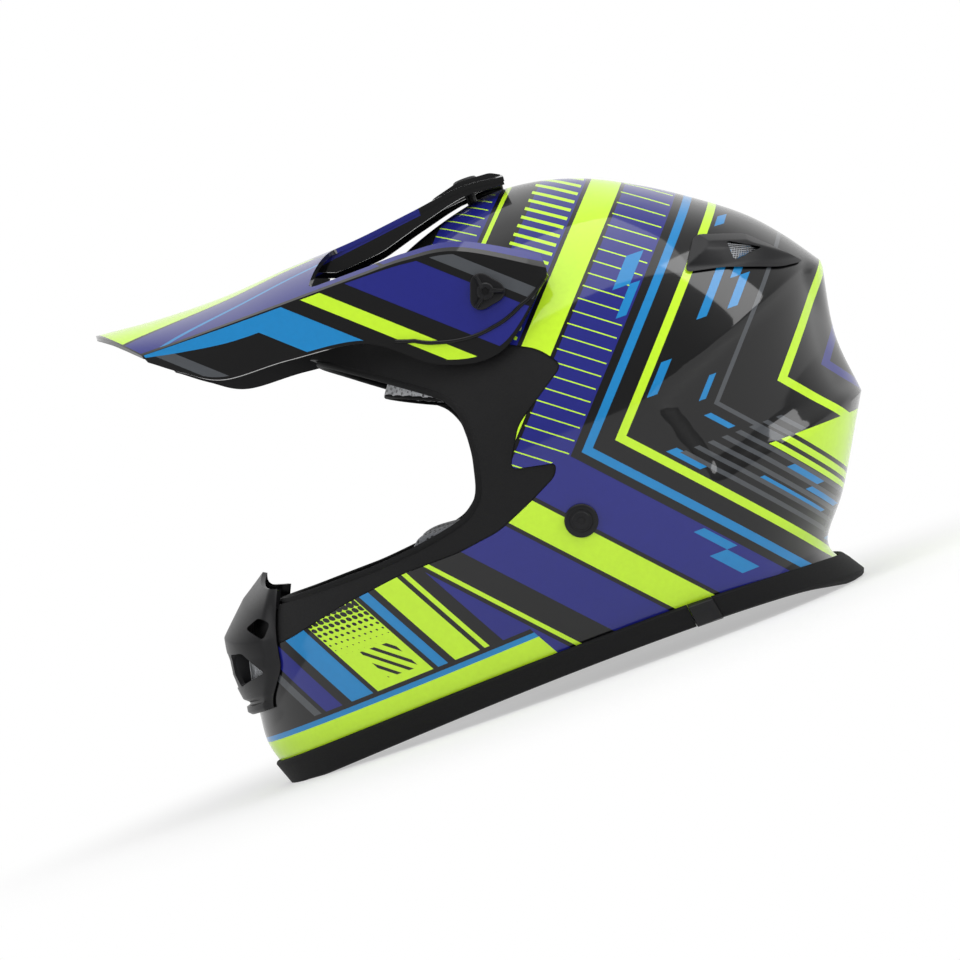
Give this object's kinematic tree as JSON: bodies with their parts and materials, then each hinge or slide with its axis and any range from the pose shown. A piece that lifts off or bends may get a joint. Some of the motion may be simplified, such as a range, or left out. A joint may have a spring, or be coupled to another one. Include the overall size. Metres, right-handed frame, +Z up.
{
  "type": "motocross helmet",
  "caption": "Off-road motorcycle helmet with a long chin bar, an open eyeport, a tilting peak on side knobs, vents, foam liners, pads and a strap buckle.",
  "frame": {"origin": "on the floor under the middle of the bounding box", "axes": "the helmet faces -X, its left side is -Y, +Z is up"},
  "size_m": [0.3948, 0.2444, 0.2842],
  "materials": {
    "gloss_lacquer": "gloss lacquer",
    "matt_black": "fine grained matt",
    "peak_lacquer": "satin lacquer",
    "moulded_black": "moulded satin",
    "black_rubber": "smooth rubber",
    "bead_foam": "expanded bead foam",
    "mesh_lining": "perforated mesh lining",
    "woven_strap": "woven webbing",
    "plated_steel": "plated",
    "brass": "turned"
  },
  "bodies": {
    "shell": {"outer_shell": "gloss_lacquer", "eyeport_surround": "matt_black", "eyeport_gasket": "black_rubber", "edge_trim_front": "black_rubber", "edge_trim_rear": "black_rubber", "trim_joiner_left": "moulded_black", "trim_joiner_right": "moulded_black", "eps_crown_liner": "bead_foam", "eps_chin_liner": "bead_foam", "cheek_pad_left": "mesh_lining", "cheek_pad_right": "mesh_lining", "neck_roll": "mesh_lining", "crown_pad": "mesh_lining", "brow_pad": "mesh_lining", "mouth_vent_cover": "moulded_black", "mouth_vent_mesh": "plated_steel", "rear_vent_cover_left": "moulded_black", "rear_vent_cover_right": "moulded_black", "rear_vent_mesh_left": "plated_steel", "rear_vent_mesh_right": "plated_steel", "strap_rivet_left": "moulded_black", "strap_rivet_right": "moulded_black", "strap_anchor_left": "plated_steel", "strap_anchor_right": "plated_steel", "strap_left": "woven_strap", "strap_right": "woven_strap", "peak_spacer_left": "moulded_black", "peak_spacer_right": "moulded_black", "peak_insert_left": "brass", "peak_insert_right": "brass", "peak_insert_top": "brass"},
    "peak": {"peak": "peak_lacquer"},
    "knob_left": {"peak_knob_left": "moulded_black"},
    "knob_right": {"peak_knob_right": "moulded_black"},
    "top_screw": {"peak_top_screw": "moulded_black"},
    "d_ring": {"d_ring": "plated_steel"}
  },
  "joints": [
    {"name": "peak_tilt", "type": "hinge", "parent": "shell", "child": "peak", "pos_m": [0.0133, 0, 0.215], "axis": [0, 1, 0], "range_deg": [-3, 8]},
    {"name": "knob_left_turn", "type": "hinge", "parent": "shell", "child": "knob_left", "pos_m": [0.0133, 0, 0.215], "axis": [0, 1, 0], "continuous": true},
    {"name": "knob_right_turn", "type": "hinge", "parent": "shell", "child": "knob_right", "pos_m": [0.0133, 0, 0.215], "axis": [0, 1, 0], "continuous": true},
    {"name": "top_screw_turn", "type": "hinge", "parent": "shell", "child": "top_screw", "pos_m": [0.026, 0, 0.27], "axis": [0, 0, 1], "continuous": true},
    {"name": "d_ring_swing", "type": "hinge", "parent": "shell", "child": "d_ring", "pos_m": [0.0171, -0.085, 0.026], "axis": [1, 0, 0], "range_deg": [-40, 60]}
  ]
}
